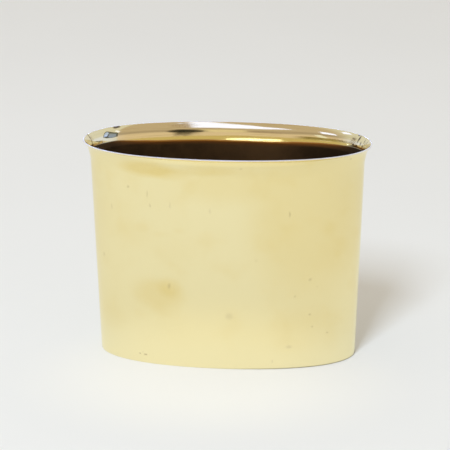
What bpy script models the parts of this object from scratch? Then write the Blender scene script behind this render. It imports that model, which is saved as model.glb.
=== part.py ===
"""Oval sheet-brass vase: a wrapped wall with a flared mouth, its brazed seam, and a bottom soldered in above the foot."""

import math

import bmesh
import bpy
import numpy as np

# Foot outline, measured on the outer face of the sheet.
FOOT_LENGTH = 0.1829
FOOT_WIDTH = 0.0737
OVAL_FULLNESS = 0.056

# Wall: overall height, sheet thickness and the outward lean of the straight part.
HEIGHT = 0.156
SHEET = 0.0009
WALL_LEAN = math.radians(1.52)

# Flared mouth: two tangent bends of the outer face, the gentle one first.
FLARE_START_RADIUS = 0.032
FLARE_START_TURN = math.radians(12)
FLARE_LIP_RADIUS = 0.014
FLARE_LIP_TURN = math.radians(32)

# Brazed butt seam up the narrow end at -X. It stands this far behind the middle of that end, along the foot.
SEAM_SHIFT = 0.005
SEAM_WIDTH = 0.0006
SEAM_CLEARANCE = 0.0003

# Bottom: a flat oval pressed with a turned-down flange and pushed up inside the foot.
BASE_SHEET = 0.0009
BASE_RECESS = 0.0012
FLANGE_HEIGHT = 0.0055
FLANGE_BEND_RADIUS = 0.0006
BASE_CLEARANCE = 0.0003

# Solder drawn round the inner corner between the bottom and the wall.
SOLDER_LEG = 0.0018
SOLDER_CLEARANCE = 0.0003

# Facets.
WALL_STATIONS = 112
BASE_STATIONS = 84
SEAM_STATIONS = 3
FLARE_START_STEPS = 3
FLARE_LIP_STEPS = 7
LIP_EDGE_STEPS = 4
SOLDER_STEPS = 4
BEND_SEGMENTS = 3
FINE_STEPS = 7200
WELD_DISTANCE = 0.00001
SMOOTH_ANGLE = math.radians(35)

# Colour and roughness of each metal.
POLISHED_BRASS = (0.83, 0.66, 0.36), 0.14
BRAZE = (0.74, 0.60, 0.36), 0.30
DULL_BRASS = (0.62, 0.47, 0.24), 0.38
SOLDER_GREY = (0.55, 0.53, 0.49), 0.35


def clear_scene():
    for obj in list(bpy.data.objects):
        bpy.data.objects.remove(obj, do_unlink=True)


def new_collection(name):
    collection = bpy.data.collections.new(name)
    bpy.context.scene.collection.children.link(collection)
    return collection


def metal(name, colour, roughness):
    material = bpy.data.materials.new(name)
    material.use_nodes = True
    shader = material.node_tree.nodes["Principled BSDF"]
    shader.inputs["Base Color"].default_value = (*colour, 1.0)
    shader.inputs["Metallic"].default_value = 1.0
    shader.inputs["Roughness"].default_value = roughness
    return material


def foot_oval(angle):
    """Points of the foot outline and its outward unit normals: an ellipse with slightly fuller shoulders."""
    half_length = FOOT_LENGTH / 2
    half_width = FOOT_WIDTH / 2
    cos, sin = np.cos(angle), np.sin(angle)
    x = half_length * cos * (1 + OVAL_FULLNESS * sin**2)
    y = half_width * sin * (1 + OVAL_FULLNESS * cos**2)
    slope_x = half_length * sin * (OVAL_FULLNESS * (3 * cos**2 - 1) - 1)
    slope_y = half_width * cos * (1 - OVAL_FULLNESS * (3 * sin**2 - 1))
    length = np.hypot(slope_x, slope_y)
    return np.column_stack([x, y]), np.column_stack([slope_y, -slope_x]) / length[:, None]


def stations(start, end, count):
    """Angles between two ends, closer together where the outline turns fast, each step equal in turn plus length."""
    angle = np.linspace(start, end, FINE_STEPS)
    points, normals = foot_oval(angle)
    run = np.linalg.norm(np.diff(points, axis=0), axis=1) / FOOT_LENGTH
    turn = np.linalg.norm(np.diff(normals, axis=0), axis=1) / 2
    walked = np.concatenate([[0], np.cumsum(run + turn)])
    return np.interp(np.linspace(0, walked[-1], count), walked, angle)


def seam_angle(distance):
    """Angle at which the outline has run this far from the seam's middle, towards the back."""
    angle = math.pi + math.pi * np.linspace(1, -1, FINE_STEPS)
    points, _ = foot_oval(angle)
    walked = np.concatenate([[0], np.cumsum(np.linalg.norm(np.diff(points, axis=0), axis=1))])
    return float(np.interp(SEAM_SHIFT + distance, walked - walked[-1] / 2, angle))


def outline(offset, count):
    """Closed outline at this distance outside the foot's."""
    points, normals = foot_oval(stations(-math.pi, math.pi, count + 1)[:-1])
    return points + offset * normals


def bend(start, radius, first, turn, steps):
    """Points along an arc in the sheet's section that leans further outward, each with its lean from upright."""
    lean = first + turn * np.arange(1, steps + 1) / steps
    out = start[0] + radius * (math.cos(first) - np.cos(lean))
    up = start[1] + radius * (np.sin(lean) - math.sin(first))
    return np.column_stack([out, up]), lean


def wall_section():
    """Section of the wall as (distance outside the foot outline, height), up the outer face and down the inner."""
    flare_lean = WALL_LEAN + FLARE_START_TURN
    lip_lean = flare_lean + FLARE_LIP_TURN
    start_rise = FLARE_START_RADIUS * (math.sin(flare_lean) - math.sin(WALL_LEAN))
    lip_rise = FLARE_LIP_RADIUS * (math.sin(lip_lean) - math.sin(flare_lean))
    edge_rise = SHEET / 2 * (1 + math.sin(lip_lean))
    straight = HEIGHT - start_rise - lip_rise - edge_rise
    corner = (straight * math.tan(WALL_LEAN), straight)
    gentle, gentle_lean = bend(corner, FLARE_START_RADIUS, WALL_LEAN, FLARE_START_TURN, FLARE_START_STEPS)
    lip, lip_leans = bend(gentle[-1], FLARE_LIP_RADIUS, flare_lean, FLARE_LIP_TURN, FLARE_LIP_STEPS)
    outer = np.vstack([corner, gentle, lip])
    lean = np.concatenate([[WALL_LEAN], gentle_lean, lip_leans])
    inward = np.column_stack([-np.cos(lean), np.sin(lean)])
    inner = outer + SHEET * inward
    around = math.pi * np.arange(1, LIP_EDGE_STEPS) / LIP_EDGE_STEPS
    middle = (outer[-1] + inner[-1]) / 2
    along = np.array([math.sin(lip_lean), math.cos(lip_lean)])
    edge = middle + SHEET / 2 * (np.outer(np.sin(around), along) - np.outer(np.cos(around), inward[-1]))
    foot = [(0, 0), (wall_inner(0), 0)]
    return np.vstack([foot[:1], outer, edge, inner[::-1], foot[1:]])


def wall_inner(height):
    """Where the inner face of the straight wall stands at a height, as a distance outside the foot outline."""
    return height * math.tan(WALL_LEAN) - SHEET / math.cos(WALL_LEAN)


def base_top():
    return BASE_RECESS + FLANGE_HEIGHT


def solder_section():
    """Concave fillet that lies on the bottom and against the wall, each at its clearance."""
    low = base_top() + SOLDER_CLEARANCE
    high = low + SOLDER_LEG
    heel = (wall_inner(low) - SOLDER_CLEARANCE, low)
    top = (wall_inner(high) - SOLDER_CLEARANCE, high)
    toe = (heel[0] - SOLDER_LEG, low)
    around = math.pi / 2 * np.arange(1, SOLDER_STEPS) / SOLDER_STEPS
    hollow = np.column_stack([toe[0] + SOLDER_LEG * np.sin(around), high - SOLDER_LEG * np.cos(around)])
    return np.vstack([heel, top, hollow[::-1], toe])


def polyline(name, points, cyclic):
    """Curve object through these points, whose section stays upright all along it."""
    curve = bpy.data.curves.new(name, "CURVE")
    curve.dimensions = "3D"
    curve.twist_mode = "Z_UP"
    spline = curve.splines.new("POLY")
    spline.points.add(len(points) - 1)
    for point, (x, y) in zip(spline.points, points):
        point.co = (x, y, 0, 1)
    spline.use_cyclic_u = cyclic
    return bpy.data.objects.new(name, curve)


def carry(name, section, path, cyclic, collection, guides):
    """One closed body: the upright section carried along the path, as a press or a roller would form it."""
    profile = polyline(name + "_section", section, True)
    rail = polyline(name + "_path", path, cyclic)
    for guide in (profile, rail):
        guides.objects.link(guide)
        guide.hide_render = True
        guide.display_type = "WIRE"
    rail.data.bevel_mode = "OBJECT"
    rail.data.bevel_object = profile
    rail.data.use_fill_caps = True
    evaluated = rail.evaluated_get(bpy.context.evaluated_depsgraph_get())
    mesh = bpy.data.meshes.new_from_object(evaluated)
    mesh.name = name
    body = bpy.data.objects.new(name, mesh)
    body.matrix_world = rail.matrix_world
    collection.objects.link(body)
    rail.data.bevel_object = None
    weld(mesh)
    return body


def weld(mesh):
    """Joins the end caps to the sides and turns every face outward."""
    work = bmesh.new()
    work.from_mesh(mesh)
    bmesh.ops.remove_doubles(work, verts=work.verts, dist=WELD_DISTANCE)
    bmesh.ops.recalc_face_normals(work, faces=work.faces)
    work.to_mesh(mesh)
    work.free()


def finish(body, material):
    body.data.materials.clear()
    body.data.materials.append(material)
    body.data.shade_smooth()
    body.data.set_sharp_from_angle(angle=SMOOTH_ANGLE)


def make_wall(collection, guides, material):
    """The sheet, wrapped from one side of the seam right round to the other."""
    half_gap = SEAM_WIDTH / 2 + SEAM_CLEARANCE
    start = seam_angle(-half_gap) - 2 * math.pi
    path, _ = foot_oval(stations(start, seam_angle(half_gap), WALL_STATIONS))
    wall = carry("wall", wall_section(), path, False, collection, guides)
    finish(wall, material)


def make_seam(collection, guides, material):
    """The brazed joint that fills the gap between the sheet's two ends, filed flush with both faces."""
    half_width = SEAM_WIDTH / 2
    path, _ = foot_oval(np.linspace(seam_angle(half_width), seam_angle(-half_width), SEAM_STATIONS))
    seam = carry("seam_braze", wall_section(), path, False, collection, guides)
    finish(seam, material)


def make_base(collection, material):
    """The bottom as an open skin, a flat oval with its edge turned down along the wall, given its thickness."""
    top = base_top()
    rim = outline(wall_inner(top) - BASE_CLEARANCE, BASE_STATIONS)
    hem = outline(wall_inner(BASE_RECESS) - BASE_CLEARANCE, BASE_STATIONS)
    mesh = bpy.data.meshes.new("base_plate")
    work = bmesh.new()
    upper = [work.verts.new((x, y, top)) for x, y in rim]
    lower = [work.verts.new((x, y, BASE_RECESS)) for x, y in hem]
    work.faces.new(upper)
    for here in range(BASE_STATIONS):
        after = (here + 1) % BASE_STATIONS
        work.faces.new((upper[after], upper[here], lower[here], lower[after]))
    work.to_mesh(mesh)
    work.free()
    base = bpy.data.objects.new("base_plate", mesh)
    collection.objects.link(base)
    finish(base, material)
    thickness = base.modifiers.new("sheet", "SOLIDIFY")
    thickness.thickness = BASE_SHEET
    thickness.offset = -1
    thickness.use_even_offset = True
    corner = base.modifiers.new("flange_bend", "BEVEL")
    corner.width = min(FLANGE_BEND_RADIUS, FLANGE_HEIGHT / 2)
    corner.segments = BEND_SEGMENTS
    corner.limit_method = "ANGLE"
    corner.angle_limit = SMOOTH_ANGLE


def make_solder(collection, guides, material):
    path, _ = foot_oval(stations(-math.pi, math.pi, BASE_STATIONS + 1)[:-1])
    solder = carry("base_solder", solder_section(), path, True, collection, guides)
    finish(solder, material)


def main():
    clear_scene()
    vase = new_collection("oval_brass_vase")
    guides = new_collection("guides")
    make_wall(vase, guides, metal("polished_brass", *POLISHED_BRASS))
    make_seam(vase, guides, metal("braze", *BRAZE))
    make_base(vase, metal("dull_brass", *DULL_BRASS))
    make_solder(vase, guides, metal("solder", *SOLDER_GREY))


main()
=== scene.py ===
"""Oval brass vase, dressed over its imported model: wrapped wall, brazed seam, pressed bottom and solder.

It stands in a plain studio. Lengths are in metres, and tables of marks say where theirs are in millimetres.
"""

import math

import bmesh
import bpy
import numpy as np
from bpy.props import FloatProperty, FloatVectorProperty, PointerProperty
from bpy.types import Operator, Panel, PropertyGroup
from mathutils import Euler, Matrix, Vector


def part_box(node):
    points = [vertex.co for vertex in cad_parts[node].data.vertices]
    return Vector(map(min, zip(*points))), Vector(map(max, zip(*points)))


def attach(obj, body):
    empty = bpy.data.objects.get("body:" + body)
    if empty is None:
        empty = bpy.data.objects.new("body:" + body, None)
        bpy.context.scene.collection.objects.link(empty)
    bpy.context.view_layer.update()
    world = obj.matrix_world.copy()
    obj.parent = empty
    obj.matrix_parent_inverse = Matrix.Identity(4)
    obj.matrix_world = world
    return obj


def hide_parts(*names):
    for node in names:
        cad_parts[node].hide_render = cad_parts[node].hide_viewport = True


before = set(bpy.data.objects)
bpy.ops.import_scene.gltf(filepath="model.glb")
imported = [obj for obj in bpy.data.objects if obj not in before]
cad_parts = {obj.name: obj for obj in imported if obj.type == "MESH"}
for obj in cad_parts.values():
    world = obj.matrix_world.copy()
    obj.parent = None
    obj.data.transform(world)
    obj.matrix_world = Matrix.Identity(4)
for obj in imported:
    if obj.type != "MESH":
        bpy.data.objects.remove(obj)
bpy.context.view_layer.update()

bl_info = {
    "name": "Oval brass vase",
    "version": (1, 0, 0),
    "blender": (4, 5, 0),
    "location": "3D View > Sidebar > Vase",
    "description": "Builds an oval sheet-brass vase with a flared mouth, and a plain studio round it",
    "category": "Object",
}

# Millimetres in a metre.
MILLIMETRES = 1000

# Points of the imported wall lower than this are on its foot.
GROUND = 0.00001

# Steps in which the outline is measured, and sections that each piece has round it.
FINE_STEPS = 7200
WALL_STATIONS, SEAM_STATIONS, BOTTOM_STATIONS, SOLDER_STATIONS = 481, 7, 241, 361

# Wall: steps up its straight part, its crease, its throat, its bend and round its lip, half the height of the
# tool's crease, and how far the foot's edges are eased.
STRAIGHT_STEPS, CREASE_STEPS, THROAT_STEPS, FLARE_STEPS, LIP_STEPS = 40, 6, 10, 36, 9
CREASE = 0.0003
EASE = 0.00012

# Heights between which the tool left rings on the flare, how far they take to fade, and radians in a metre.
RINGS_FROM, RINGS_TO, RINGS_FADE, RINGS_PITCH = 0.1425, 0.1550, 0.002, 520

# The sheet lies true this close to the seam, and a hair's gap keeps faces that touch from sharing a place.
TRUE_AT_SEAM = 0.004
HAIR = 0.00001

# Depth to which the braze is filed below the sheet, and how much that varies.
FILED, FILED_VARIES = 0.00003, 0.00002

# Bottom: outer and inner radius of its bend, clearance to the wall, chamfer of its flange, sag, and steps
# across it and round its bend.
BEND_OUTER, BEND_INNER, CLEARANCE, CHAMFER = 0.0006, 0.0002, 0.0001, 0.0002
SAG = 0.00025
BOTTOM_RINGS, BEND_STEPS = 15, 7

# Edges in the meshes that turn by more than this stay sharp.
SHARP = math.radians(50)

# Middle of the vase's mouth, which lamps, card and panes are placed round.
MOUTH = Vector((0, 0, 0.15))

# Random patterns: features in a metre, then detail, roughness and distortion.
STRAY = (420, 2.0)
MOTTLE = (22, 3.0, 0.55)
CLOUD = (60, 2.0)
FLECK_SIZE = (40, 1.0)
STIPPLE = (1300, 2.0)
EDGE_WANDER = (30, 2.0)
BLOTCH = (70, 4.0, 0.6)
HAZE = (35, 2.0)
FLUX = (260, 3.0, 0.6)
HEAT = (32, 3.0, 0.6, 0.4)
SPECKLE = (420, 3.0, 0.65)
WIPED = (700, 3.0, 0.6, 0.6)
FLUX_STAIN = (120, 2.0)
PAPER_FIBRE = (900, 2.0)
PAPER_TONE = (3.0, 2.0)
CARD_UNEVEN = (14, 3.0)
FLECKS_IN_A_METRE = 95

# Colours of small marks and places on the brass, among them painted light and painted shade.
FOOT_BRASS = (0.96, 0.875, 0.545)
# Painted shade: colour of the dark line at the foot, which stands in for the contact shadow under its edge.
PAINTED_FOOT_SHADOW = (0.30, 0.24, 0.13)
STREAK_BROWN = (0.60, 0.47, 0.19)
FLARE_END = (0.93, 0.82, 0.46)
FLARE_BEND = (0.95, 0.88, 0.62)
FILM_BROWN = (0.40, 0.27, 0.11)
ETCHED_DARK = (0.10, 0.06, 0.035)
# Painted shade: colour of the inside towards its ends.
PAINTED_SHADE_INSIDE = (0.04, 0.025, 0.011)
# Painted light: colours of the band along the top of the aged inside, where light from the mouth catches it.
PAINTED_LIGHT_AMBER = (0.30, 0.12, 0.024)
PAINTED_LIGHT_ORANGE = (0.70, 0.28, 0.04)
# Paler colour of the raw lip edge, which also carries a painted highlight along it.
PALE_LIP_AND_HIGHLIGHT = (0.95, 0.92, 0.86)
SEAM_INSIDE = (0.30, 0.22, 0.11)
UNDER_LIGHT, UNDER_DARK = (0.60, 0.46, 0.22), (0.42, 0.30, 0.15)
WATER_MARK = (0.16, 0.12, 0.08)
SOLDER_STAIN = (0.24, 0.20, 0.14)

# Depth of relief in the metals.
SCRATCHES, PITS, FILE_MARKS, ROLLED_LINES, WIPED_RIDGES = 0.0000012, 0.00003, 0.00001, 0.000012, 0.00006

# Heights at which looks change: brighter brass and a painted contact shadow line at the foot, the flare's
# bend at its ends, the inside of the seam, and the top of the bottom plate.
BRIGHTER_FOOT = (0.042, 0.004)
FOOT_SHADOW_LINE = (0.0008, 0.0003)
BEND_BAND = (0.1525, 0.1505)
SEAM_AGED = (0.1445, 0.142)
PLATE_TOP = (0.0058, 0.0066)

# Upper edge of the aged inside: its height in the middle, its rise towards the ends, where they are, how far
# it wanders, its drop at the left end, and hills along it, each from, middle, to and rise.
AGED_EDGE, AGED_RISE, HALF_MOUTH, AGED_WANDER = 0.1437, 0.0044, 0.094, 0.0012
LEFT_END, LEFT_DROP = (-0.075, -0.092), 0.0008
AGED_HILLS = (
    (0.035, 0.060, 0.080, 0.0006), (0.0, 0.026, 0.045, -0.0005), (-0.088, -0.060, -0.020, -0.0006))

# Distance from a mark's middle, in its half widths, at which it starts and at which it is full, and how far
# its outline strays along the sheet and up it.
MARK_EDGE = (1.5, 0.45)
STRAY_ALONG, STRAY_UP = 0.0016, 0.0012

# Marks: foot angle in degrees, height, half width and half height in millimetres, and strength.
TARNISH_SPOTS = (
    (-112.8, 60.8, 0.9, 1.8, 0.45), (-87.4, 40.5, 2.6, 2.4, 0.22), (-51.2, 66.8, 1.2, 1.0, 0.40),
    (-132.6, 131.2, 0.9, 0.9, 0.45), (-122.2, 127.6, 0.5, 2.4, 0.35), (-120.9, 119.2, 0.7, 1.3, 0.4),
    (-144.5, 114.5, 0.5, 1.7, 0.3), (-111.5, 120.4, 0.5, 2.2, 0.3), (-94.8, 118.0, 0.7, 1.8, 0.25),
    (-61.8, 115.7, 0.7, 2.0, 0.5), (-82.4, 149.0, 1.0, 0.6, 0.4), (-76.2, 82.3, 0.6, 0.9, 0.4),
    (-58.8, 54.8, 0.7, 0.6, 0.45), (-50.9, 40.5, 0.9, 0.8, 0.45), (-49.5, 31.0, 0.7, 0.8, 0.45),
    (-40.0, 25.0, 0.8, 0.7, 0.5), (-61.4, 16.7, 2.2, 1.2, 0.25), (-69.1, 6.0, 0.6, 1.2, 0.3),
    (-155.0, 76.3, 0.8, 1.6, 0.35), (-27.4, 151.7, 0.7, 0.7, 0.45), (-129.1, 6.4, 0.7, 0.6, 0.8),
    (-125.7, 6.3, 1.2, 0.6, 0.8), (-127.2, 8.0, 0.5, 0.4, 0.5), (-47.0, 61.0, 0.5, 0.5, 0.3),
)

TARNISH_FILMS = (
    (-118.2, 53.7, 17.0, 11.0, 0.50), (-112.5, 59.5, 8.0, 7.0, 0.35), (-122.0, 146.0, 17.0, 5.5, 0.80),
    (-112.0, 143.0, 12.0, 4.0, 0.35), (-98.0, 147.0, 22.0, 3.5, 0.28), (-125.5, 102.5, 5.0, 3.6, 0.16),
    (-116.4, 99.0, 5.0, 2.0, 0.14), (-107.8, 102.5, 4.0, 2.0, 0.14), (-61.4, 16.7, 12.0, 6.0, 0.18),
    (-37.0, 17.0, 5.0, 12.0, 0.20), (-52.0, 112.0, 36.0, 60.0, 0.48), (-150.0, 30.0, 12.0, 10.0, 0.22),
    (-90.0, 138.0, 30.0, 14.0, 0.34), (-52.0, 26.0, 26.0, 18.0, 0.26), (-128.0, 98.0, 14.0, 9.0, 0.12),
)

FLARE_MARKS = (
    (146.6, 155.4, 1.6, 0.7, 0.9), (144.5, 155.5, 1.2, 0.6, 0.8), (24.6, 149.2, 0.8, 0.6, 0.9),
    (21.2, 149.0, 1.0, 0.7, 0.9), (20.8, 152.4, 0.5, 1.7, 0.7), (20.2, 154.3, 0.6, 1.4, 0.8),
    (13.5, 150.2, 0.8, 0.9, 0.9), (8.6, 149.7, 0.8, 1.0, 0.9), (13.1, 153.5, 0.4, 1.4, 0.6),
    (22.4, 155.7, 0.7, 0.6, 0.8), (8.6, 153.5, 0.4, 1.6, 0.5), (25.2, 152.8, 1.4, 0.5, 0.6),
    (17.0, 151.2, 0.6, 1.4, 0.7), (11.0, 151.5, 0.4, 2.0, 0.6), (61.5, 143.2, 4.5, 0.5, 0.5),
    (27.0, 147.6, 2.4, 0.5, 0.4),
)

FLARE_FILMS = (
    (38.9, 149.6, 6.0, 0.8, 0.55), (25.2, 151.2, 2.6, 2.8, 0.75), (110.4, 153.9, 9.0, 1.5, 0.45),
    (54.0, 148.5, 12.0, 0.7, 0.6), (75.0, 150.2, 15.0, 0.5, 0.25), (178.0, 152.6, 2.4, 2.2, 0.45),
    (31.0, 149.3, 5.0, 0.8, 0.5),
)

# Panes that only reflections see: name, distance, tone, and corners as azimuth and elevation in degrees.
PANES = (
    ("key_pane", 2.4, (1.2, 1.45, 3.2), (
        (6.5, 84.0), (5.6, 60.0), (5.3, 36.8), (-6.0, 35.8), (-14.0, 35.8), (-20.0, 38.5), (-26.0, 41.0),
        (-23.0, 43.0), (-16.0, 46.5), (-11.5, 57.0), (-6.0, 74.0), (-2.0, 84.0))),
    ("left_pane", 2.0, (1.2, 1.45, 3.2), (
        (-42.5, 33.0), (-43.5, 42.0), (-51.0, 40.0), (-59.5, 36.5), (-58.5, 32.0), (-50.0, 32.5))),
    ("side_pane", 2.0, (1.2, 1.45, 3.2), (
        (-75.0, 43.5), (-78.0, 51.0), (-88.0, 53.0), (-96.0, 48.5), (-94.0, 42.5))),
    ("upper_pane", 2.0, (1.1, 1.30, 2.8), ((8.5, 62.0), (10.5, 62.0), (10.5, 68.0), (8.5, 68.0))),
    ("low_pane", 2.0, (0.96, 1.06, 1.39), (
        (-34.5, 22.0), (-40.0, 25.0), (-45.0, 14.5), (-43.0, 10.5), (-37.5, 11.5))),
    ("band_pane", 2.1, (0.84, 0.80, 0.76), (
        (2.5, 26.5), (2.5, 14.0), (-5.0, 12.0), (-8.5, 15.0), (-8.5, 25.5))),
    ("frame_pane", 2.2, (0.10, 0.11, 0.12), (
        (88.5, 15.0), (88.5, 30.0), (86.0, 41.5), (73.0, 36.5), (57.0, 29.0), (56.0, 10.5), (66.0, 6.5),
        (79.0, 8.5))),
    ("cool_pane", 2.0, (0.55, 0.76, 1.75), (
        (86.5, 17.0), (86.6, 29.0), (83.5, 38.0), (76.5, 33.5), (78.0, 18.0))),
    ("grey_pane", 2.0, (0.285, 0.363, 0.635), (
        (75.0, 12.0), (74.5, 31.0), (59.5, 26.0), (59.0, 11.0), (67.0, 8.0))),
    ("top_pane", 1.9, (1.16, 1.34, 2.4), ((66.0, 39.0), (64.0, 43.5), (55.0, 35.0), (56.0, 29.0))),
    ("back_pane", 2.0, (4.2, 5.6, 13.0), (
        (-154.5, 25.5), (-154.5, 32.0), (-165.0, 30.5), (-180.0, 27.5), (-180.0, 26.0))),
)

# Light that the metal shows from in front: height from -1 below to 1 above, level, and blue's share of it.
# A colour ramp holds no more than 1, so the levels go in divided by RAMP_TOP and are scaled back after it.
LEVELS = (
    (-0.2, 0.66, 0.5), (0.145, 0.70, 0.5), (0.20, 1.35, 1.0), (0.28, 1.3, 1.0), (0.36, 1.0, 1.0),
    (0.42, 0.78, 1.0), (0.50, 0.80, 1.0), (0.60, 1.0, 1.0))
RAMP_TOP = 1.5

# Floor: reach, steps round it, how far it lies under the foot, how far the vase covers its opening's edge,
# and the shift, stretch and soft edge of the painted glow on it.
FLOOR_REACH, FLOOR_STEPS, FLOOR_DROP, FLOOR_TUCK = 6.0, 96, 0.0001, 0.0007
GLOW_SHIFT, GLOW_STRETCH, GLOW_EDGE = (0.008, 0.055, 0.0), (7.5, 10.5, 0.0), (1.15, 0.25)

# Lamps and card: place, size and colours. The key's and the card's place is azimuth, elevation and distance.
KEY_PLACE, KEY_SIZE, KEY_COLOUR = (-16, 48, 4.0), (0.95, 1.50), (0.694, 0.823, 1.0)
FILL_PLACE, FILL_SIZE, FILL_COLOUR = Vector((-1.1, -0.5, 2.6)), (1.8, 1.8), (1.0, 0.93, 0.86)
CARD_PLACE, CARD_SIZE = (7.4, 17.0, 1.5), (0.37, 0.64)
CARD_EDGE, CARD_MIDDLE = (0.06, 0.05, 0.04), (0.02, 0.02, 0.02)

SENSOR_WIDTH, VIEW_END = 36.0, 20.0


def foot_of_wall():
    """Length and width of the wall's foot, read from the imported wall."""
    ground = [vertex.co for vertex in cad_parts["wall"].data.vertices if vertex.co.z < GROUND]
    length = max(point.x for point in ground) * 2
    width = max(abs(point.y) for point in ground) * 2
    return round(length, 4), round(width, 4)


foot_length, foot_width = foot_of_wall()


class VaseSizes(PropertyGroup):
    """Sizes of the vase, in metres and radians."""

    foot_length: FloatProperty(
        name="Foot length", description="Length of the oval foot", default=foot_length, unit="LENGTH")
    foot_width: FloatProperty(
        name="Foot width", description="Width of the oval foot", default=foot_width, unit="LENGTH")
    fullness: FloatProperty(
        name="Fullness", description="How much fuller than an ellipse the oval's shoulders are",
        default=0.056)
    height: FloatProperty(
        name="Height", description="Overall height", default=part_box("wall")[1].z, unit="LENGTH")
    sheet: FloatProperty(
        name="Sheet", description="Thickness of the sheet brass", default=0.0009, unit="LENGTH")
    wall_lean: FloatProperty(
        name="Wall lean", description="Outward lean of the wall", default=math.radians(1.52),
        unit="ROTATION")
    flare_height: FloatProperty(
        name="Flare height", description="Height at which the flare leaves the wall", default=0.1428,
        unit="LENGTH")
    crease_lean: FloatProperty(
        name="Crease lean", description="Lean just above the tool's crease", default=math.radians(10),
        unit="ROTATION")
    lip_height: FloatProperty(
        name="Lip height", description="Height at which the flare bends up to the lip", default=0.1489,
        unit="LENGTH")
    throat_lean: FloatProperty(
        name="Throat lean", description="Lean where the lip's bend starts", default=math.radians(12),
        unit="ROTATION")
    lip_lean: FloatProperty(
        name="Lip lean", description="Lean of the sheet at the lip", default=math.radians(45.6),
        unit="ROTATION")
    seam_shift: FloatProperty(
        name="Seam shift", description="How far behind the end's middle the seam stands", default=0.005,
        unit="LENGTH")
    seam_width: FloatProperty(
        name="Seam width", description="Width of the brazed strip", default=0.0006, unit="LENGTH")
    recess: FloatProperty(
        name="Recess", description="Height of the bottom's flange above the foot", default=0.0012,
        unit="LENGTH")
    flange: FloatProperty(
        name="Flange", description="Height of the bottom's turned-down flange", default=0.0055, unit="LENGTH")
    solder_leg: FloatProperty(
        name="Solder", description="Leg of the solder fillet", default=0.0018, unit="LENGTH")
    waviness: FloatProperty(
        name="Waviness", description="Depth of the hand-made unevenness of the sheet", default=0.00007,
        unit="LENGTH")
    flare_rings: FloatProperty(
        name="Flare rings", description="Depth of the rings that the tool left along the flare",
        default=0.00003, unit="LENGTH")


class VaseFinish(PropertyGroup):
    """Colours and gloss of the metals."""

    brass: FloatVectorProperty(
        name="Brass", description="Polished brass", subtype="COLOR", default=(0.925, 0.823, 0.475))
    flare_brass: FloatVectorProperty(
        name="Flare brass", description="Brass on the inside of the flare, which is cleaned less often",
        subtype="COLOR", default=(0.865, 0.71, 0.33))
    warm_brass: FloatVectorProperty(
        name="Warm brass", description="Brass where a thin film of tarnish warms it", subtype="COLOR",
        default=(0.86, 0.70, 0.30))
    aged_brass: FloatVectorProperty(
        name="Aged brass", description="Unpolished inside of the wall", subtype="COLOR",
        default=(0.155, 0.088, 0.034))
    stain: FloatVectorProperty(
        name="Stain", description="Tarnish marks", subtype="COLOR", default=(0.50, 0.38, 0.18))
    braze: FloatVectorProperty(
        name="Braze", description="Brazing metal of the seam", subtype="COLOR", default=(0.72, 0.60, 0.34))
    solder: FloatVectorProperty(
        name="Solder", description="Soft solder round the bottom", subtype="COLOR",
        default=(0.42, 0.40, 0.37))
    gloss: FloatProperty(
        name="Roughness", description="Roughness of the polished brass", default=0.06, min=0, max=1)


class VaseStudio(PropertyGroup):
    """Floor, lamps and camera."""

    floor: FloatVectorProperty(
        name="Floor", description="Colour of the floor", subtype="COLOR", default=(0.87, 0.86, 0.83))
    # Painted light: the warm light that the vase throws back on the floor is painted into the floor's colour.
    painted_glow: FloatVectorProperty(
        name="Glow", description="Colour of the floor where the vase throws light back on it",
        subtype="COLOR", default=(0.975, 0.95, 0.875))
    front_light: FloatVectorProperty(
        name="Front light", description="Light that the metal shows from in front", subtype="COLOR",
        default=(0.585, 0.525, 0.55))
    back_light: FloatVectorProperty(
        name="Back light", description="Light that the metal shows from the sides and behind",
        subtype="COLOR", default=(0.76, 0.82, 1.05))
    ambient: FloatVectorProperty(
        name="Ambient", description="Soft light that reaches the floor from all round", subtype="COLOR",
        default=(0.60, 0.56, 0.49))
    key: FloatProperty(name="Key", description="Radiance of the key softbox", default=24.2)
    fill: FloatProperty(name="Fill", description="Radiance of the overhead fill lamp", default=0.5)
    camera_distance: FloatProperty(
        name="Camera distance", description="Distance of the camera from its aim", default=1.2044,
        unit="LENGTH")
    camera_side: FloatProperty(
        name="Camera side", description="How far to the side of the vase's middle the camera aims",
        default=-0.00154, unit="LENGTH")
    camera_lift: FloatProperty(
        name="Camera aim", description="Height that the camera aims at", default=0.09387, unit="LENGTH")
    camera_elevation: FloatProperty(
        name="Camera elevation", description="Height of the camera above the horizon",
        default=math.radians(20), unit="ROTATION")
    camera_azimuth: FloatProperty(
        name="Camera azimuth", description="Turn of the camera round the vase", default=math.radians(5.11),
        unit="ROTATION")
    camera_roll: FloatProperty(
        name="Camera roll", description="Tilt of the picture", default=math.radians(-0.26), unit="ROTATION")
    lens: FloatProperty(name="Lens", description="Focal length in millimetres", default=137.2)


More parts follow.
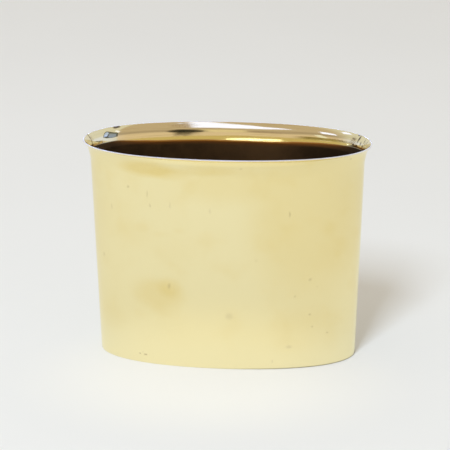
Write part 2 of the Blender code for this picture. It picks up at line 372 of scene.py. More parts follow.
class Wire:
    """An output socket in a material, on which Python's arithmetic adds Math nodes."""

    def __init__(self, tree, socket):
        self.tree = tree
        self.socket = socket

    def math(self, operation, *values):
        """Math node on this socket and the values after it."""
        inputs = dict(enumerate((self, *values)))
        return add_node(self.tree, "ShaderNodeMath", {"operation": operation}, inputs)

    def __add__(self, other):
        return self.math("ADD", other)

    __radd__ = __add__

    def __sub__(self, other):
        return self.math("SUBTRACT", other)

    def __rsub__(self, other):
        return add_node(self.tree, "ShaderNodeMath", {"operation": "SUBTRACT"}, {0: other, 1: self})

    def __mul__(self, other):
        return self.math("MULTIPLY", other)

    __rmul__ = __mul__

    def __truediv__(self, other):
        return self.math("DIVIDE", other)

    def __rtruediv__(self, other):
        return add_node(self.tree, "ShaderNodeMath", {"operation": "DIVIDE"}, {0: other, 1: self})

    def __pow__(self, other):
        return self.math("POWER", other)

    def most(self, other):
        """The larger of the two."""
        return self.math("MAXIMUM", other)

    def least(self, other):
        """The smaller of the two."""
        return self.math("MINIMUM", other)

    def between(self, low, high):
        """0 below low, 1 above high and a smooth step between; it falls where low is above high."""
        turned = low > high
        first, last = (high, low) if turned else (low, high)
        return add_node(
            self.tree, "ShaderNodeMapRange", {"interpolation_type": "SMOOTHSTEP"},
            {"Value": self, "From Min": first, "From Max": last, "To Min": float(turned),
             "To Max": float(not turned)})

    def hill(self, low, middle, high):
        """1 at the middle, falling to 0 at both ends."""
        return self.between(low, middle) * self.between(high, middle)


def add_node(tree, kind, settings=None, inputs=None, output=0):
    """Adds a node, its settings first, then the values or links of its sockets, and gives one output."""
    node = tree.nodes.new(kind)
    for name, value in (settings or {}).items():
        if name == "stops":
            ramp = node.color_ramp.elements
            while len(ramp) < len(value):
                ramp.new(1.0)
            for stop, (position, colour) in zip(ramp, value):
                stop.position = position
                stop.color = (*colour, 1.0)
        else:
            setattr(node, name, value)
    for name, value in (inputs or {}).items():
        feed(tree, node.inputs[name], value)
    return Wire(tree, node.outputs[output])


def feed(tree, socket, value):
    """Links a wire to a socket, or writes a plain value there."""
    if isinstance(value, Wire):
        tree.links.new(value.socket, socket)
    elif socket.type == "RGBA":
        socket.default_value = (*value, 1.0)
    else:
        socket.default_value = value


def parts_of(tree, vector):
    """The three parts of a vector in a node tree."""
    return [add_node(tree, "ShaderNodeSeparateXYZ", inputs={0: vector}, output=axis) for axis in range(3)]


def mixed(tree, mask, colour, other):
    """Colour that goes from the first to the other as the mask rises."""
    return add_node(tree, "ShaderNodeMix", {"data_type": "RGBA"}, {0: mask, 6: colour, 7: other}, 2)


def toned(colour, share):
    """Colour brought up or down to this share."""
    return tuple(part * share for part in colour)


class Finish:
    """A material under construction: its node tree, its shader, and the place that its patterns follow."""

    def __init__(self, name):
        self.material = bpy.data.materials.new(name)
        self.material.use_nodes = True
        self.tree = self.material.node_tree
        self.shader = self.tree.nodes["Principled BSDF"]
        self.point = self.add("ShaderNodeTexCoord", output="Object")
        self.x, self.y, self.z = parts_of(self.tree, self.point)

    def add(self, kind, settings=None, inputs=None, output=0):
        return add_node(self.tree, kind, settings, inputs, output)

    def set(self, **values):
        """Gives the shader's sockets their values or links; an underscore stands for a space."""
        for name, value in values.items():
            feed(self.tree, self.shader.inputs[name.replace("_", " ")], value)

    def attribute(self, name):
        """Number that the mesh carries for each of its points."""
        return self.add("ShaderNodeAttribute", {"attribute_name": name}, output="Fac")

    def vector(self, x=0.0, y=0.0, z=0.0):
        return self.add("ShaderNodeCombineXYZ", inputs={0: x, 1: y, 2: z})

    def vector_math(self, operation, *values, output=0):
        return self.add("ShaderNodeVectorMath", {"operation": operation}, dict(enumerate(values)), output)

    def noise(self, where, scale, detail=2.0, roughness=0.5, distortion=0.0):
        """Soft random field from about 0 to 1; scale counts features in a metre."""
        inputs = {"Vector": where, "Scale": scale, "Detail": detail, "Roughness": roughness,
                  "Distortion": distortion}
        return self.add("ShaderNodeTexNoise", None, inputs)

    def mix(self, mask, colour, other):
        """Colour that goes from the first to the other as the mask rises."""
        return mixed(self.tree, mask, colour, other)

    def coats(self, colour, *coats):
        """Colour with coats laid over it in turn, each a mask and a colour."""
        for mask, other in coats:
            colour = self.mix(mask, colour, other)
        return colour

    def bump(self, height, distance, normal=None):
        """Normal of relief this deep, over another relief where one is given."""
        inputs = {"Height": height, "Distance": distance}
        if normal is not None:
            inputs["Normal"] = normal
        return self.add("ShaderNodeBump", None, inputs)


class SheetFinish(Finish):
    """Finish of the brass sheet, with masks of its two faces and the places along it that marks follow."""

    def __init__(self, name):
        super().__init__(name)
        self.run, self.inside = self.attribute("run"), self.attribute("inside")
        self.place = self.vector(self.run, self.z, 0.0)
        stray = self.noise(self.point, *STRAY) - 0.5
        self.ragged = self.vector(self.run + stray * STRAY_ALONG, self.z + stray * STRAY_UP, 0.0)
        self.inner = self.inside.between(0.3, 0.7)
        self.outer = 1 - self.inner
        self.reach = (self.x * (1 / HALF_MOUTH)).math("ABSOLUTE") ** 2.2

    def marks(self, sizes, place, marks):
        """Mask of soft oval marks, each a row of the tables of marks."""
        mask = 0.0
        for degrees, height, half_width, half_height, strength in marks:
            centre = (float(run_from_seam(sizes, math.radians(degrees))), height / MILLIMETRES, 0.0)
            stretch = (MILLIMETRES / half_width, MILLIMETRES / half_height, 0.0)
            offset = self.vector_math("SUBTRACT", place, centre)
            distance = self.vector_math("LENGTH", self.vector_math("MULTIPLY", offset, stretch), output=1)
            mask = distance.between(*MARK_EDGE) * strength + mask
        return mask


def foot_oval(sizes, angle):
    """Points of the foot outline and its outward unit normals: an ellipse with slightly fuller shoulders."""
    half_length, half_width, full = sizes.foot_length / 2, sizes.foot_width / 2, sizes.fullness
    cos, sin = np.cos(angle), np.sin(angle)
    x = half_length * cos * (1 + full * sin**2)
    y = half_width * sin * (1 + full * cos**2)
    slope_x = half_length * sin * (full * (3 * cos**2 - 1) - 1)
    slope_y = half_width * cos * (1 - full * (3 * sin**2 - 1))
    length = np.hypot(slope_x, slope_y)
    return np.column_stack([x, y]), np.column_stack([slope_y, -slope_x]) / length[:, None]


def walked(points):
    """Distance along a row of points, from its first."""
    return np.concatenate([[0], np.cumsum(np.linalg.norm(np.diff(points, axis=0), axis=1))])


def stations(sizes, start, end, count):
    """Angles between two ends, each step equal in turn plus length."""
    angle = np.linspace(start, end, FINE_STEPS)
    points, normals = foot_oval(sizes, angle)
    steps = walked(points) / sizes.foot_length + walked(normals) / 2
    return np.interp(np.linspace(0, steps[-1], count), steps, angle)


def seam_angle(sizes, distance):
    """Angle at which the outline has run this far from the seam's middle, towards the back."""
    angle = math.pi + math.pi * np.linspace(1, -1, FINE_STEPS)
    run = walked(foot_oval(sizes, angle)[0])
    return float(np.interp(sizes.seam_shift + distance, run - run[-1] / 2, angle))


def run_from_seam(sizes, angle):
    """Distance along the foot outline from the seam's middle, round by the front."""
    fine = np.linspace(seam_angle(sizes, 0) - 2 * math.pi, seam_angle(sizes, 0), FINE_STEPS)
    return np.interp(angle, fine, walked(foot_oval(sizes, fine)[0]))


def wall_section(sizes):
    """Section of the wall as distance outside the foot outline and height, and each point's share of the way
    from the outer face at 0, round the lip, to the inner face at 1.
    """
    lip_lean = sizes.lip_lean
    rise = np.linspace(0, sizes.flare_height - CREASE, STRAIGHT_STEPS)
    outer = [np.column_stack([rise * math.tan(sizes.wall_lean), rise])]
    lean = [np.full(STRAIGHT_STEPS, sizes.wall_lean)]
    lip_top = sizes.height - sizes.sheet / 2 * (1 + math.sin(lip_lean))
    for top, last, steps in (
            (sizes.flare_height + CREASE, sizes.crease_lean, CREASE_STEPS),
            (sizes.lip_height, sizes.throat_lean, THROAT_STEPS), (lip_top, lip_lean, FLARE_STEPS)):
        first, corner = lean[-1][-1], outer[-1][-1]
        radius = (top - corner[1]) / (math.sin(last) - math.sin(first))
        leans = first + (last - first) * np.arange(1, steps + 1) / steps
        outward = corner[0] + radius * (math.cos(first) - np.cos(leans))
        upward = corner[1] + radius * (np.sin(leans) - math.sin(first))
        outer.append(np.column_stack([outward, upward]))
        lean.append(leans)
    outer, lean = np.vstack(outer), np.concatenate(lean)
    inner = outer + sizes.sheet * np.column_stack([-np.cos(lean), np.sin(lean)])
    inner[0] = (-sizes.sheet / math.cos(sizes.wall_lean), 0)
    around = math.pi * np.arange(1, LIP_STEPS) / LIP_STEPS
    along = np.array([math.sin(lip_lean), math.cos(lip_lean)])
    across = np.array([-math.cos(lip_lean), math.sin(lip_lean)])
    edge = (outer[-1] + inner[-1]) / 2 + sizes.sheet / 2 * (
        np.outer(np.sin(around), along) - np.outer(np.cos(around), across))
    corner = EASE * 0.3
    outer = np.vstack([[-EASE, 0], [-corner, corner], [EASE * math.tan(sizes.wall_lean), EASE], outer[1:]])
    foot_in = inner[0]
    inner = np.vstack([foot_in + [EASE, 0], foot_in + [corner, corner], foot_in + [0, EASE], inner[1:]])
    section = np.vstack([outer, edge, inner[::-1]])
    inside = np.concatenate([np.zeros(len(outer)), around / math.pi, np.ones(len(inner))])
    return section, inside


def ripple(run, height, seed):
    """Gentle unevenness from -1 to 1 of hand-planished sheet, in waves of so many radians in a metre."""
    wave = np.sin(run * 61 + seed) * np.sin(height * 47 + 1.3 * seed)
    wave = wave + 0.7 * np.sin(run * 113 + height * 83 + 2.1 * seed)
    wave = wave + 0.4 * np.sin(run * 197 - height * 121 + 0.7 * seed)
    return wave / 2.1


def flare_waves(sizes, run, section):
    """Shallow rings left by the tool along the flare, wandering as they go round and fading at the lip."""
    height = section[None, :, 1]
    started = np.clip((height - RINGS_FROM) / RINGS_FADE, 0, 1)
    ended = np.clip((RINGS_TO - height) / RINGS_FADE, 0, 1)
    wander = 1.6 * np.sin(run * 21 + 0.6) + 0.9 * np.sin(run * 47 + 2.0)
    return sizes.flare_rings * started * ended * np.sin(height * RINGS_PITCH + wander[:, None])


def loft(name, rings, closed, run, material, node):
    """Skin of quads over rings of points, each round the section, with its finish, in place of a node."""
    count, around = rings.shape[:2]
    index = np.arange(count * around).reshape(count, around)
    first = index if closed else index[:-1]
    after = np.roll(index, -1, 0) if closed else index[1:]
    faces = np.stack([first, after, np.roll(after, -1, 1), np.roll(first, -1, 1)], -1).reshape(-1, 4).tolist()
    if not closed:
        faces += [index[0].tolist(), index[-1, ::-1].tolist()]
    mesh = bpy.data.meshes.new(name)
    mesh.from_pydata(rings.reshape(-1, 3).tolist(), [], faces)
    piece = bpy.data.objects.new(name, mesh)
    bpy.context.scene.collection.objects.link(piece)
    mesh.shade_smooth()
    mesh.set_sharp_from_angle(angle=SHARP)
    add_values(mesh, "run", np.repeat(run, around))
    piece.data.materials.append(material)
    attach(piece, "root")
    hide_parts(node)
    return piece


def add_values(mesh, name, values):
    """Stores a number for each point of the mesh under this name."""
    mesh.attributes.new(name, "FLOAT", "POINT").data.foreach_set("value", np.asarray(values, np.float32))


def carried(section, points, normals, pulled=0.0):
    """Rings of the section stood up along the outline; what is pulled moves both faces inward together."""
    outward = section[None, :, 0] - pulled
    xy = points[:, None, :] + outward[..., None] * normals[:, None, :]
    height = np.broadcast_to(section[None, :, 1:], (*xy.shape[:2], 1))
    return np.concatenate([xy, height], -1)


def outer_colour(sheet, sizes, look):
    """Polished outside, brighter near the foot with a painted contact shadow along its edge, and the mask of
    the thin tarnish film on it.
    """
    mottle = sheet.noise(sheet.point, *MOTTLE)
    cloud = sheet.noise(sheet.vector_math("ADD", sheet.point, (3.1, 1.7, 0.4)), *CLOUD)
    film = mottle.between(0.42, 0.75) * 0.16 + cloud.between(0.5, 0.8) * 0.20
    film = film + sheet.marks(sizes, sheet.ragged, TARNISH_FILMS) * sheet.outer
    colour = sheet.mix(film.least(1.0), look.brass, look.warm_brass)
    # Painted shadow: a dark line just above the foot, mostly towards the right end, where the contact shadow
    # falls.
    foot_shadow_mask = sheet.z.between(*FOOT_SHADOW_LINE) * sheet.x.between(-0.02, 0.05) * 0.8
    return sheet.coats(
        colour, (sheet.z.between(*BRIGHTER_FOOT) * 0.8, FOOT_BRASS), (foot_shadow_mask, PAINTED_FOOT_SHADOW)), film


def flare_colour(sheet, look, colour):
    """Goes over to the flare's brass on the inner face, with faint streaks along it."""
    streaks = sheet.noise(sheet.vector(sheet.run * 22, sheet.z * 850, 3.0), 1.0, 3.0, 0.6)
    return sheet.coats(
        colour, (sheet.inner, look.flare_brass),
        (streaks.between(0.50, 0.74) * sheet.inner * 0.5, STREAK_BROWN))


def stained(sheet, sizes, look, colour):
    """Adds tarnish spots outside and fine flecks all over, and gives their mask too."""
    flecks = sheet.add("ShaderNodeTexVoronoi", None, {
        "Vector": sheet.vector(sheet.run, sheet.z, sheet.inside), "Scale": FLECKS_IN_A_METRE})
    fleck_size = sheet.noise(sheet.place, *FLECK_SIZE)
    fleck = flecks.between(0.035, 0.012) * fleck_size.between(0.56, 0.70) * 0.5
    spots = sheet.marks(sizes, sheet.ragged, TARNISH_SPOTS) * sheet.outer * 0.7 + fleck
    return sheet.mix(spots.least(1.0), colour, look.stain), spots


def flare_worn(sheet, sizes, colour):
    """Inner face of the flare: paler at both ends and along the bend there, with stippled brown films and
    small etched marks.
    """
    ends = sheet.reach.between(0.70, 1.0) * sheet.inner * 0.35
    bend = sheet.reach.between(0.55, 0.9) * sheet.z.between(*BEND_BAND) * sheet.inner * 0.8
    stipple = sheet.noise(sheet.point, *STIPPLE).between(0.40, 0.60) * 0.7 + 0.3
    films = sheet.marks(sizes, sheet.ragged, FLARE_FILMS) * stipple * sheet.inner
    etched = sheet.marks(sizes, sheet.place, FLARE_MARKS) * sheet.inner
    return sheet.coats(
        colour, (ends, FLARE_END), (bend, FLARE_BEND), (films, FILM_BROWN), (etched, ETCHED_DARK))


def aged_depth(sheet):
    """How many millimetres a point lies below the wandering upper edge of the aged inside."""
    stray = sheet.noise(sheet.point, *EDGE_WANDER) - 0.5
    edge = AGED_EDGE + sheet.reach * AGED_RISE + stray * AGED_WANDER
    for low, middle, high, rise in AGED_HILLS:
        edge = edge + sheet.x.hill(low, middle, high) * rise
    edge = edge - sheet.x.between(*LEFT_END) * LEFT_DROP
    return (edge - sheet.z) * MILLIMETRES


def aged_colour(sheet, look, depth, blotch):
    """Unpolished inside, blotched and streaked by water, with painted light in the middle, painted shade
    towards its ends, and painted amber light along the top.
    """
    x, aged = sheet.x, look.aged_brass
    drips = sheet.noise(sheet.vector(sheet.run * 260, sheet.z * 30, 0.0), 1.0, 3.0)
    middle = sheet.reach.between(0.9, 0.3)
    return sheet.coats(
        aged,
        (blotch.between(0.3, 0.75), toned(aged, 0.6)),
        (drips.between(0.55, 0.8) * 0.5, toned(aged, 1.5)),
        # Painted light: the middle of the inside, where the key lamp falls, is painted lighter.
        (x.hill(-0.02, 0.025, 0.055) * 0.6, toned(aged, 1.7)),
        # Painted shade: the inside is painted darker towards both ends, most towards the right.
        (x.between(0.035, 0.075) * 0.75, PAINTED_SHADE_INSIDE),
        (x.between(-0.04, -0.08) * 0.3, PAINTED_SHADE_INSIDE),
        # Painted light: amber, then orange, along the top edge of the aged inside, standing in for the bright
        # band there.
        (depth.between(3.8, 0.8) * middle, PAINTED_LIGHT_AMBER),
        (depth.between(1.4, 0.1) * middle, PAINTED_LIGHT_ORANGE))


def polished_brass(sizes, look):
    """Brass sheet: polished outside and on the flare, tarnished in spots, aged dark down the inside."""
    sheet = SheetFinish("polished_brass")
    colour, film = outer_colour(sheet, sizes, look)
    colour = flare_colour(sheet, look, colour)
    colour, spots = stained(sheet, sizes, look, colour)
    colour = flare_worn(sheet, sizes, colour)
    depth = aged_depth(sheet)
    aged = depth.between(-0.45, 0.4) * sheet.inner
    blotch = sheet.noise(sheet.point, *BLOTCH)
    # The lip's raw edge is paler in its own colour, and also carries a painted highlight that widens its
    # gleam.
    lip = sheet.inside.between(0.02, 0.12) * sheet.inside.between(0.98, 0.88)
    colour = sheet.coats(colour, (aged, aged_colour(sheet, look, depth, blotch)), (lip * 0.8, PALE_LIP_AND_HIGHLIGHT))

    lines = sheet.noise(sheet.vector(sheet.run * 30, sheet.z * 1500, sheet.inside), 1.0, 3.0, 0.6)
    cross = sheet.noise(sheet.vector(sheet.run * 1400, sheet.z * 60, sheet.inside), 1.0, 2.0)
    haze = sheet.noise(sheet.point, *HAZE).between(0.35, 0.8) * 0.05
    rough = look.gloss + (haze + 0.04) * sheet.outer + lines * 0.03 + film * 0.06 + spots * 0.25
    rough = rough * (1 - aged) + (0.42 + blotch * 0.18) * aged + lip * 0.2
    pitted = sheet.bump(spots * -0.6 + blotch * aged, PITS)
    sheet.set(
        Base_Color=colour, Metallic=1 - aged * 0.15, Roughness=rough,
        Normal=sheet.bump(lines * 0.7 + cross * 0.3, SCRATCHES, pitted))
    return sheet.material


def braze_metal(look):
    """Brazing metal filed flush: a little darker and duller than the sheet, with file marks across it."""
    finish = Finish("braze")
    grain = finish.noise(finish.vector(finish.x * 300, finish.y * 300, finish.z * 2600), 1.0, 3.0)
    flux = finish.noise(finish.point, *FLUX)
    inside = finish.attribute("inside").between(0.3, 0.7)
    aged = inside * finish.z.between(*SEAM_AGED)
    colour = finish.coats(
        look.braze, (flux.between(0.4, 0.7) * 0.6, toned(look.braze, 0.7)), (inside, SEAM_INSIDE),
        (aged, toned(look.aged_brass, 0.7)))
    finish.set(
        Base_Color=colour, Metallic=1 - aged * 0.2, Roughness=grain * 0.15 + 0.2 + aged * 0.2,
        Normal=finish.bump(grain, FILE_MARKS))
    return finish.material


def dull_brass(look):
    """Bottom sheet as rolled and soldered, never polished: dull, with heat colour and water marks."""
    finish = Finish("dull_brass")
    heat = finish.noise(finish.point, *HEAT)
    speckle = finish.noise(finish.point, *SPECKLE)
    rolled = finish.noise(finish.vector(finish.x * 18, finish.y * 900, finish.z * 900), 1.0, 2.0)
    under = finish.mix(heat.between(0.35, 0.7), UNDER_LIGHT, UNDER_DARK)
    upper = finish.mix(heat.between(0.4, 0.65), toned(look.aged_brass, 0.9), toned(look.aged_brass, 1.6))
    colour = finish.coats(
        under, (finish.z.between(*PLATE_TOP), upper), (speckle.between(0.55, 0.75) * 0.4, WATER_MARK))
    finish.set(
        Base_Color=colour, Metallic=1 - speckle.between(0.5, 0.8) * 0.3,
        Roughness=0.34 + heat * 0.15 + rolled * 0.08,
        Normal=finish.bump(rolled + speckle * 0.5, ROLLED_LINES))
    return finish.material


def soft_solder(look):
    """Soft solder: grey, wiped while hot, with small ridges and flux stain."""
    finish = Finish("solder")
    wiped = finish.noise(finish.point, *WIPED)
    stain = finish.noise(finish.point, *FLUX_STAIN)
    finish.set(
        Base_Color=finish.mix(stain.between(0.4, 0.7), look.solder, SOLDER_STAIN), Metallic=1.0,
        Roughness=wiped * 0.25 + 0.28, Normal=finish.bump(wiped, WIPED_RIDGES))
    return finish.material


class VASE_OT_wall(Operator):
    """Wraps the sheet into the oval wall and flares its mouth"""

    bl_idname = "vase.wrap_wall"
    bl_label = "Wrap the wall"

    def execute(self, context):
        sizes, look = context.scene.vase_sizes, context.scene.vase_finish
        half_gap = sizes.seam_width / 2 + HAIR
        start = seam_angle(sizes, -half_gap) - 2 * math.pi
        angle = stations(sizes, start, seam_angle(sizes, half_gap), WALL_STATIONS)
        points, normals = foot_oval(sizes, angle)
        section, inside = wall_section(sizes)
        run = run_from_seam(sizes, angle)
        calm = np.clip(np.minimum(run, run[-1] - run) / TRUE_AT_SEAM, 0, 1)[:, None]
        wave = sizes.waviness * (0.5 + 0.5 * ripple(run[:, None], section[None, :, 1], 1.7)) * calm
        wave = wave + flare_waves(sizes, run, section) * calm
        rings = carried(section, points, normals, wave)
        wall = loft("wall_sheet", rings, False, run, polished_brass(sizes, look), "wall")
        add_values(wall.data, "inside", np.tile(inside, len(run)))
        return {"FINISHED"}


class VASE_OT_seam(Operator):
    """Fills the joint between the sheet's two ends with filed braze"""

    bl_idname = "vase.braze_seam"
    bl_label = "Braze the seam"

    def execute(self, context):
        sizes, look = context.scene.vase_sizes, context.scene.vase_finish
        half_width = sizes.seam_width / 2
        angle = np.linspace(seam_angle(sizes, half_width), seam_angle(sizes, -half_width), SEAM_STATIONS)
        points, normals = foot_oval(sizes, angle)
        section, inside = wall_section(sizes)
        depth = FILED + FILED_VARIES * ripple(section[:, 1] * 9, section[:, 1] * 4, 0.4)
        section[:, 0] -= np.where(inside < 0.5, depth, -depth)
        rings = carried(section, points, normals)
        rings[..., 2] = np.minimum(rings[..., 2], sizes.height - 2 * HAIR)
        still = np.zeros(len(angle))
        seam = loft("seam_strip", rings, False, still, braze_metal(look), "seam_braze")
        add_values(seam.data, "inside", np.tile(inside, len(angle)))
        return {"FINISHED"}


def bottom_section(sizes):
    """Section of the pressed bottom: its outer bend, its flange's edge, and its inner bend from below."""
    sheet, recess = sizes.sheet, sizes.recess
    top = recess + sizes.flange
    slope = math.tan(sizes.wall_lean)
    face = -sheet / math.cos(sizes.wall_lean) - CLEARANCE
    low = face + recess * slope
    bend = np.linspace(0, math.pi / 2, BEND_STEPS)
    back = bend[::-1]
    outer = np.column_stack([
        face + top * slope - BEND_OUTER * (1 - np.sin(bend)), top - BEND_OUTER * (1 - np.cos(bend))])
    flange = np.array([
        (low, recess + CHAMFER / 2), (low - CHAMFER, recess), (low - sheet + CHAMFER, recess),
        (low - sheet, recess + CHAMFER / 2)])
    inner = np.column_stack([
        face - sheet + (top - sheet) * slope - BEND_INNER * (1 - np.sin(back)),
        top - sheet - BEND_INNER * (1 - np.cos(back))])
    return outer, flange, inner


def sagged(rim, level, share):
    """Row of points at this share of the way out from the bottom's middle, where the plate sags a little."""
    return np.column_stack([rim * share, np.full(len(rim), level - SAG * (1 - share**2))])


class VASE_OT_bottom(Operator):
    """Presses the flat oval bottom with its turned-down flange"""

    bl_idname = "vase.press_bottom"
    bl_label = "Press the bottom"

    def execute(self, context):
        sizes, look = context.scene.vase_sizes, context.scene.vase_finish
        angle = stations(sizes, -math.pi, math.pi, BOTTOM_STATIONS)[:-1]
        points, normals = foot_oval(sizes, angle)
        outer, flange, inner = bottom_section(sizes)
        shares = np.linspace(0, 1, BOTTOM_RINGS)[1:-1]
        rim = points + outer[0, 0] * normals
        hollow = points + inner[-1, 0] * normals
        rows = [sagged(rim, outer[0, 1], share) for share in shares]
        for outward, height in np.vstack([outer, flange, inner]):
            rows.append(np.column_stack([points + outward * normals, np.full(len(points), height)]))
        rows += [sagged(hollow, inner[-1, 1], share) for share in shares[::-1]]
        rings = np.stack(rows, 1)
        run = run_from_seam(sizes, angle)
        bottom = loft("bottom_plate", rings, True, run, dull_brass(look), "base_plate")
        close_middles(bottom.data, rings.shape[1], len(angle))
        return {"FINISHED"}


def close_middles(mesh, around, count):
    """Turns the strip between a loft's last and first rows into two flat middles, one over the other."""
    work = bmesh.new()
    work.from_mesh(mesh)
    work.verts.ensure_lookup_table()
    first = [work.verts[ring * around] for ring in range(count)]
    last = [work.verts[ring * around + around - 1] for ring in range(count)]
    both = set(first + last)
    between = [face for face in work.faces if set(face.verts) <= both]
    bmesh.ops.delete(work, geom=between, context="FACES")
    work.faces.new(first)
    work.faces.new(last[::-1])
    bmesh.ops.recalc_face_normals(work, faces=work.faces)
    for face in work.faces:
        face.smooth = True
    work.to_mesh(mesh)
    work.free()


class VASE_OT_solder(Operator):
    """Runs solder round the inner corner between the bottom and the wall"""

    bl_idname = "vase.run_solder"
    bl_label = "Run the solder"

    def execute(self, context):
        sizes, look = context.scene.vase_sizes, context.scene.vase_finish
        angle = stations(sizes, -math.pi, math.pi, SOLDER_STATIONS)[:-1]
        points, normals = foot_oval(sizes, angle)
        low, slope = sizes.recess + sizes.flange, math.tan(sizes.wall_lean)
        wall = low * slope - sizes.sheet / math.cos(sizes.wall_lean)
        back, leg = np.linspace(0, math.pi / 2, BEND_STEPS)[::-1], sizes.solder_leg
        hollow = np.column_stack([-leg + leg * np.sin(back), leg - leg * np.cos(back)])
        shape = np.vstack([[(0.0, 0.0)], hollow])
        run = run_from_seam(sizes, angle)
        turn = run * 2 * math.pi / run.max()
        swell = 1 + 0.10 * np.sin(turn * 23) + 0.08 * np.sin(turn * 41 + 1)
        outward = shape[None, :, 0] * swell[:, None] + wall - 2 * HAIR + shape[None, :, 1] * slope
        xy = points[:, None, :] + outward[..., None] * normals[:, None, :]
        height = low + 2 * HAIR + shape[None, :, 1:] * swell[:, None, None]
        rings = np.concatenate([xy, height], -1)
        loft("solder_fillet", rings, True, run, soft_solder(look), "base_solder")
        return {"FINISHED"}


def towards(azimuth, elevation, distance):
    """Point this far from the vase's mouth; azimuth runs from the front towards +X, both in degrees."""
    turn, rise = math.radians(azimuth), math.radians(elevation)
    level = math.cos(rise)
    return Vector((math.sin(turn) * level, -math.cos(turn) * level, math.sin(rise))) * distance + MOUTH


def set_up(holder, place):
    """Puts a lamp or card in its place, facing the vase's mouth."""
    holder.location = place
    holder.rotation_euler = (place - MOUTH).to_track_quat("Z", "Y").to_euler()


def softbox(name, place, width, height, radiance, colour):
    """Rectangular lamp of this radiance that faces the mouth; the panes stand in for it in reflections."""
    lamp = bpy.data.lights.new(name, "AREA")
    lamp.shape = "RECTANGLE"
    lamp.size, lamp.size_y = width, height
    lamp.energy = radiance * width * height * math.pi
    lamp.color = colour
    holder = bpy.data.objects.new(name, lamp)
    set_up(holder, place)
    holder.visible_camera = False
    holder.visible_glossy = False
    bpy.context.scene.collection.objects.link(holder)


def card(name, place, width, height, edge, middle):
    """Soft-edged card that faces the vase's mouth and shows only in reflections."""
    mesh = bpy.data.meshes.new(name)
    w, h = width / 2, height / 2
    mesh.from_pydata([(-w, -h, 0), (w, -h, 0), (w, h, 0), (-w, h, 0)], [], [(0, 1, 2, 3)])
    finish = Finish(name)
    stretched = finish.vector(finish.x * (1 / w), finish.y * (1 / h), 0.0)
    uneven = finish.noise(finish.point, *CARD_UNEVEN) * 0.7 - 0.35
    reach = finish.vector_math("LENGTH", stretched, output=1) + uneven
    tone = finish.mix(reach.between(0.25, 0.6), middle, edge)
    finish.set(
        Base_Color=(0, 0, 0), Roughness=1.0, Emission_Color=tone, Emission_Strength=1.0,
        Alpha=reach.between(0.98, 0.7))
    mesh.materials.append(finish.material)
    piece = bpy.data.objects.new(name, mesh)
    set_up(piece, place)
    only_reflected(piece)


def only_reflected(piece):
    """Adds a card or pane to the stage so that nothing but a reflection sees it."""
    piece.visible_camera = False
    piece.visible_diffuse = False
    piece.visible_shadow = False
    bpy.context.scene.collection.objects.link(piece)


def pane(name, distance, tone, directions):
    """Bright or dark pane with its corners in these directions from the mouth, seen only in reflections."""
    mesh = bpy.data.meshes.new(name)
    corners = [towards(azimuth, elevation, distance) for azimuth, elevation in directions]
    mesh.from_pydata(corners, [], [tuple(range(len(corners)))])
    finish = Finish(name)
    most = max(tone)
    finish.set(
        Base_Color=(0, 0, 0), Roughness=1.0, Emission_Color=toned(tone, 1 / most),
        Emission_Strength=most)
    mesh.materials.append(finish.material)
    only_reflected(bpy.data.objects.new(name, mesh))


def paper(studio):
    """Pale floor paper with the vase's glow painted on it as a pool of light, clear from below."""
    finish = Finish("floor_paper")
    fibre = finish.noise(finish.point, *PAPER_FIBRE).between(0.3, 0.7) * 0.15
    tone = finish.noise(finish.point, *PAPER_TONE).between(0.3, 0.7) * 0.5
    # Painted light: a warm pool on the floor where the vase throws light back.
    off = finish.vector_math("MULTIPLY", finish.vector_math("ADD", finish.point, GLOW_SHIFT), GLOW_STRETCH)
    painted_glow = finish.vector_math("LENGTH", off, output=1).between(*GLOW_EDGE)
    colour = finish.coats(studio.floor, (tone + fibre, toned(studio.floor, 0.975)), (painted_glow, studio.painted_glow))
    finish.set(Base_Color=colour, Roughness=0.85, Specular_IOR_Level=0.2)
    below = finish.add("ShaderNodeNewGeometry", output="Backfacing")
    clear = finish.add("ShaderNodeBsdfTransparent")
    front = Wire(finish.tree, finish.shader.outputs[0])
    surface = finish.add("ShaderNodeMixShader", inputs={0: below, 1: front, 2: clear})
    feed(finish.tree, finish.tree.nodes["Material Output"].inputs["Surface"], surface)
    return finish.material


def paper_floor(sizes, studio):
    """Wide pale floor, open where the vase covers it."""
    angle = np.linspace(0, 2 * math.pi, FLOOR_STEPS + 1)[:-1]
    points, normals = foot_oval(sizes, angle)
    outline = FLOOR_REACH * np.column_stack([np.cos(angle), np.sin(angle)])
    rings = np.vstack([points - FLOOR_TUCK * normals, outline])
    corners = np.column_stack([rings, np.full(len(rings), -FLOOR_DROP)])
    mesh = bpy.data.meshes.new("floor")
    mesh.from_pydata(corners.tolist(), [], [
        (step, step + FLOOR_STEPS, (step + 1) % FLOOR_STEPS + FLOOR_STEPS, (step + 1) % FLOOR_STEPS)
        for step in range(FLOOR_STEPS)])
    mesh.materials.append(paper(studio))
    piece = bpy.data.objects.new("floor", mesh)
    bpy.context.scene.collection.objects.link(piece)


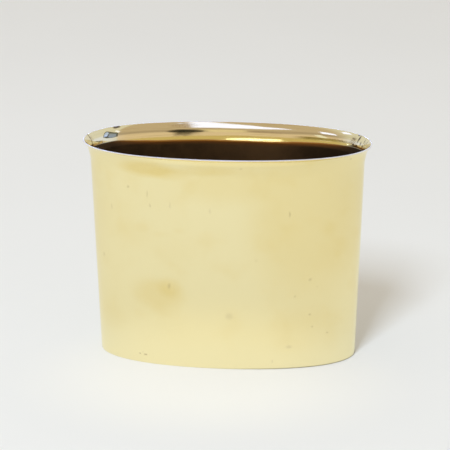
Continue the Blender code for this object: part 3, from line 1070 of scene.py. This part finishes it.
def surroundings(studio):
    """World: the metal shows dim light in front with a pale band low down, and pale light all round else."""
    world = bpy.data.worlds.new("surroundings")
    bpy.context.scene.world = world
    world.use_nodes = True
    tree = world.node_tree
    across, behind, up = parts_of(tree, add_node(tree, "ShaderNodeTexCoord", output="Generated"))
    # Just over 1, so that straight up and straight down divide by more than nothing.
    level_run = (1.0001 - up * up) ** 0.5
    # The pale band lies lower everywhere but at the far left.
    lowered = (across / level_run).between(-0.58, -0.30) * 0.10
    red, green, blue = toned(studio.front_light, 1 / RAMP_TOP)
    stops = [
        ((place + 1) / 2, (level * red, level * green, level * blue * blue_share))
        for place, level, blue_share in LEVELS]
    bands = add_node(tree, "ShaderNodeValToRGB", {"stops": stops}, {0: (up + lowered) * 0.5 + 0.5})
    bright = add_node(tree, "ShaderNodeVectorMath", {"operation": "SCALE"}, {0: bands, "Scale": RAMP_TOP})
    turn = behind / level_run
    right = across.between(-0.05, 0.05)
    pale = turn.between(-0.57, -0.49) * right + turn.between(-0.66, -0.05) * (1 - right)
    seen = mixed(tree, pale, bright, studio.back_light)
    by_camera = add_node(tree, "ShaderNodeLightPath", output="Is Camera Ray")
    by_gloss = add_node(tree, "ShaderNodeLightPath", output="Is Glossy Ray")
    colour = mixed(tree, by_camera.most(by_gloss), studio.ambient, seen)
    feed(tree, tree.nodes["Background"].inputs["Color"], colour)


def camera(studio):
    """Camera at the photograph's angle."""
    lens = bpy.data.cameras.new("camera")
    lens.lens = studio.lens
    lens.sensor_width = SENSOR_WIDTH
    lens.clip_end = VIEW_END
    holder = bpy.data.objects.new("camera", lens)
    elevation = studio.camera_elevation
    turn = Euler((0, 0, studio.camera_azimuth)).to_matrix()
    aim = Vector((studio.camera_side, 0.0, studio.camera_lift))
    back = Vector((0, -math.cos(elevation), math.sin(elevation))) * studio.camera_distance
    holder.location = turn @ (aim + back)
    tilt = Euler((math.pi / 2 - elevation, 0, 0)).to_matrix()
    roll = Euler((0, 0, studio.camera_roll)).to_matrix()
    holder.rotation_euler = (turn @ tilt @ roll).to_euler()
    bpy.context.scene.collection.objects.link(holder)
    bpy.context.scene.camera = holder


class VASE_OT_studio(Operator):
    """Sets the floor, the lamps, the light round the vase and the camera"""

    bl_idname = "vase.set_studio"
    bl_label = "Set the studio"

    def execute(self, context):
        studio = context.scene.vase_studio
        paper_floor(context.scene.vase_sizes, studio)
        surroundings(studio)
        softbox("key", towards(*KEY_PLACE), *KEY_SIZE, studio.key, KEY_COLOUR)
        softbox("fill", FILL_PLACE, *FILL_SIZE, studio.fill, FILL_COLOUR)
        for name, distance, tone, directions in PANES:
            pane(name, distance, tone, directions)
        card("dark_card", towards(*CARD_PLACE), *CARD_SIZE, CARD_EDGE, CARD_MIDDLE)
        camera(studio)
        context.scene.view_settings.view_transform = "Standard"
        return {"FINISHED"}


class VASE_PT_maker(Panel):
    """Lists the sizes, finishes and steps of the vase"""

    bl_label = "Vase"
    bl_space_type = "VIEW_3D"
    bl_region_type = "UI"
    bl_category = "Vase"

    def draw(self, context):
        layout = self.layout
        for group in (context.scene.vase_sizes, context.scene.vase_finish, context.scene.vase_studio):
            column = layout.column(align=True)
            for name in group.__annotations__:
                column.prop(group, name)
        for step in STEPS:
            layout.operator(step.bl_idname)


STEPS = (VASE_OT_wall, VASE_OT_seam, VASE_OT_bottom, VASE_OT_solder, VASE_OT_studio)
GROUPS = (VaseSizes, VaseFinish, VaseStudio)


def register():
    for part in (*GROUPS, *STEPS, VASE_PT_maker):
        bpy.utils.register_class(part)
    bpy.types.Scene.vase_sizes = PointerProperty(type=VaseSizes)
    bpy.types.Scene.vase_finish = PointerProperty(type=VaseFinish)
    bpy.types.Scene.vase_studio = PointerProperty(type=VaseStudio)


def unregister():
    del bpy.types.Scene.vase_studio
    del bpy.types.Scene.vase_finish
    del bpy.types.Scene.vase_sizes
    for part in reversed((*GROUPS, *STEPS, VASE_PT_maker)):
        bpy.utils.unregister_class(part)


def main():
    register()
    bpy.ops.vase.wrap_wall()
    bpy.ops.vase.braze_seam()
    bpy.ops.vase.press_bottom()
    bpy.ops.vase.run_solder()
    bpy.ops.vase.set_studio()


if __name__ == "__main__":
    main()
